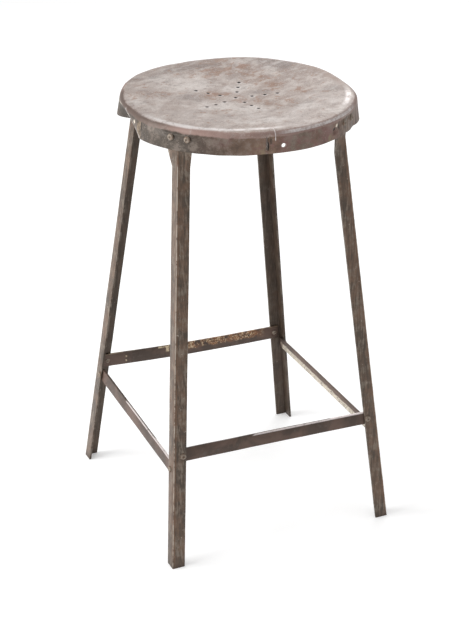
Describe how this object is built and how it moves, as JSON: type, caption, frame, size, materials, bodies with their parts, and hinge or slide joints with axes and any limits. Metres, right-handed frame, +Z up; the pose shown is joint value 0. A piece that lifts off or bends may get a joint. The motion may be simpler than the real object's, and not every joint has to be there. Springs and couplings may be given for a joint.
{
  "type": "machinist stool",
  "caption": "Riveted steel machinist stool: a round pressed seat pan with vent holes and a deep skirt, on splayed angle iron legs tied low down by flat stretchers.",
  "frame": {"origin": "on the floor, under the middle of the feet and of the seat", "axes": "+Z up; -Y is the front of the stool and +X its right side as seen from the front; the legs stand on the diagonals"},
  "size_m": [0.3682, 0.37, 0.66],
  "materials": {
    "seat_steel": "worn bare steel, grey with patches of rust",
    "leg_steel": "old dark patina, worn at the edges",
    "stretcher_steel": "old dark patina, scuffed bright along the top",
    "rivet_steel": "old dark patina, worn bright on the rims of the heads"
  },
  "bodies": {
    "root": {"seat": "seat_steel", "leg_front_left": "leg_steel", "leg_front_right": "leg_steel", "leg_back_right": "leg_steel", "leg_back_left": "leg_steel", "stretcher_front": "stretcher_steel", "stretcher_back": "stretcher_steel", "stretcher_left": "stretcher_steel", "stretcher_right": "stretcher_steel", "rivet_front_stretcher_left": "rivet_steel", "rivet_front_stretcher_right": "rivet_steel", "rivet_back_stretcher_left": "rivet_steel", "rivet_back_stretcher_right": "rivet_steel", "rivet_left_stretcher_front": "rivet_steel", "rivet_left_stretcher_back": "rivet_steel", "rivet_right_stretcher_front": "rivet_steel", "rivet_right_stretcher_back": "rivet_steel", "rivet_seat_front_left_1": "rivet_steel", "rivet_seat_front_left_2": "rivet_steel", "rivet_seat_front_right_1": "rivet_steel", "rivet_seat_front_right_2": "rivet_steel", "rivet_seat_back_right_1": "rivet_steel", "rivet_seat_back_right_2": "rivet_steel", "rivet_seat_back_left_1": "rivet_steel", "rivet_seat_back_left_2": "rivet_steel"}
  },
  "joints": []
}
